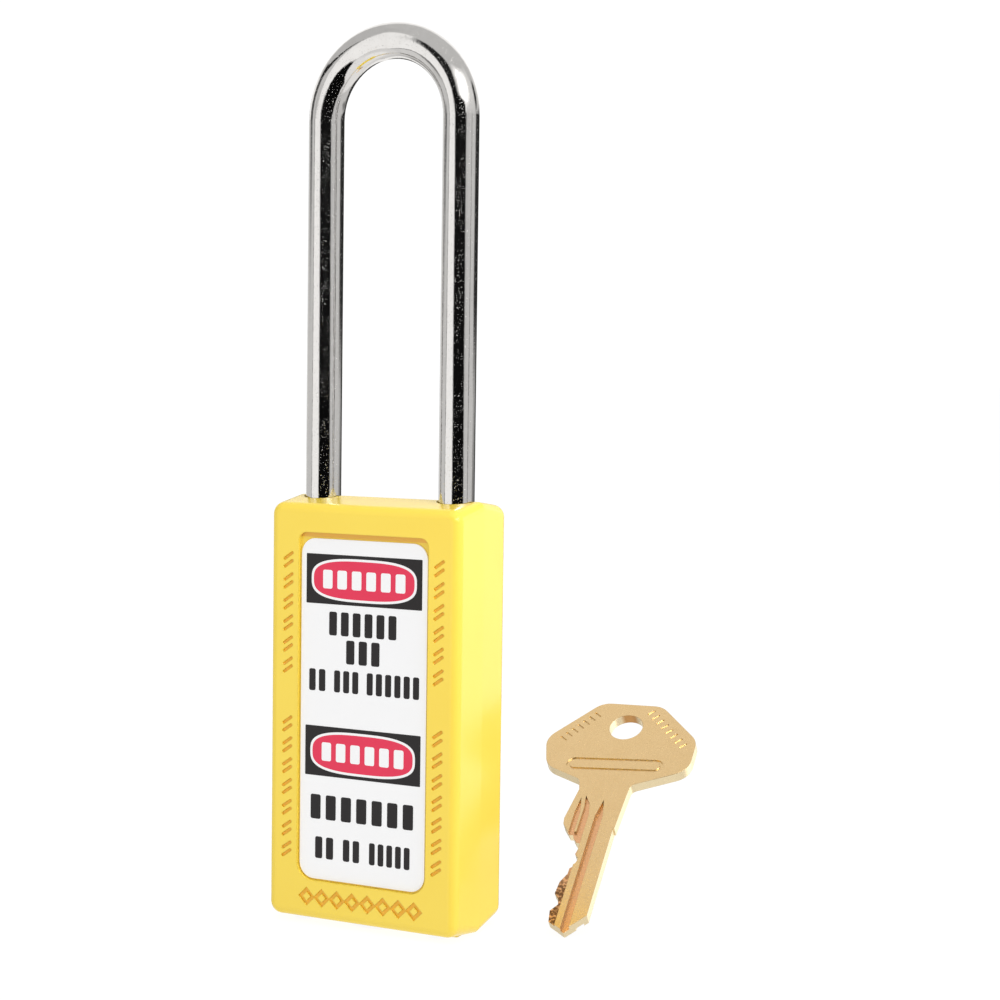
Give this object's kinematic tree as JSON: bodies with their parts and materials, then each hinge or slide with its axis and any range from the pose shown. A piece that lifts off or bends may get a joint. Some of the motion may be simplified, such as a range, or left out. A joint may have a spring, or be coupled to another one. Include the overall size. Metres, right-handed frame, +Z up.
{
  "type": "safety padlock",
  "caption": "Tall plastic-bodied safety padlock with a long slim metal shackle, label panels front and back, and a flat pin-tumbler key; locks out a switch or valve.",
  "frame": {"origin": "middle of the base that the padlock stands on", "axes": "+Z up along the shackle, -Y out of the front label, X across the width with the shackle toe (the leg that comes free) on +X"},
  "size_m": [0.0625, 0.061, 0.1598],
  "materials": {
    "yellow_plastic": "glossy moulded",
    "cover_plastic": "satin moulded",
    "zinc_casting": "as cast",
    "chrome": "bright plated",
    "steel": "satin",
    "spring_steel": "drawn wire",
    "brass": "satin",
    "key_brass": "satin stamped",
    "label_card": "printed film"
  },
  "bodies": {
    "lock_body": {"block_screws": "steel", "body_shell": "yellow_plastic", "bottom_cover": "cover_plastic", "cam_block": "zinc_casting", "chamber_cover": "brass", "cover_rivets": "steel", "cylinder_cradle": "zinc_casting", "cylinder_housing": "brass", "driver_pin_1": "brass", "driver_pin_2": "brass", "driver_pin_3": "brass", "driver_pin_4": "brass", "driver_pin_5": "brass", "driver_pin_6": "brass", "label_back": "label_card", "label_front": "label_card", "latch_guide": "zinc_casting", "pin_spring_1": "spring_steel", "pin_spring_2": "spring_steel", "pin_spring_3": "spring_steel", "pin_spring_4": "spring_steel", "pin_spring_5": "spring_steel", "pin_spring_6": "spring_steel", "shackle_retaining_pin": "steel", "shackle_spring": "spring_steel"},
    "shackle": {"shackle": "chrome"},
    "plug": {"cylinder_plug": "brass", "drive_rod": "steel", "key_pin_1": "brass", "key_pin_2": "brass", "key_pin_3": "brass", "key_pin_4": "brass", "key_pin_5": "brass", "key_pin_6": "brass", "latch_cam": "zinc_casting", "plug_clip": "steel"},
    "latch": {"latch": "steel"},
    "key": {"key": "key_brass"}
  },
  "joints": [
    {"name": "shackle_lift", "type": "slide", "parent": "lock_body", "child": "shackle", "axis": [0, 0, 1], "range_m": [0, 0.0165], "deforming": ["shackle_spring"]},
    {"name": "plug_turn", "type": "hinge", "parent": "lock_body", "child": "plug", "pos_m": [0, 0, 0.015], "axis": [0, 0, -1], "range_deg": [0, 90]},
    {"name": "latch_slide", "type": "slide", "parent": "lock_body", "child": "latch", "axis": [1, 0, 0], "range_m": [0, 0.00311]},
    {"name": "key_lift", "type": "slide", "parent": "lock_body", "child": "key", "axis": [0, 0, 1], "range_m": [0, 0.05]}
  ],
  "couplings": [
    {"joint": "latch_slide", "follows": "plug_turn", "m_per_rad": 0.0019799}
  ]
}
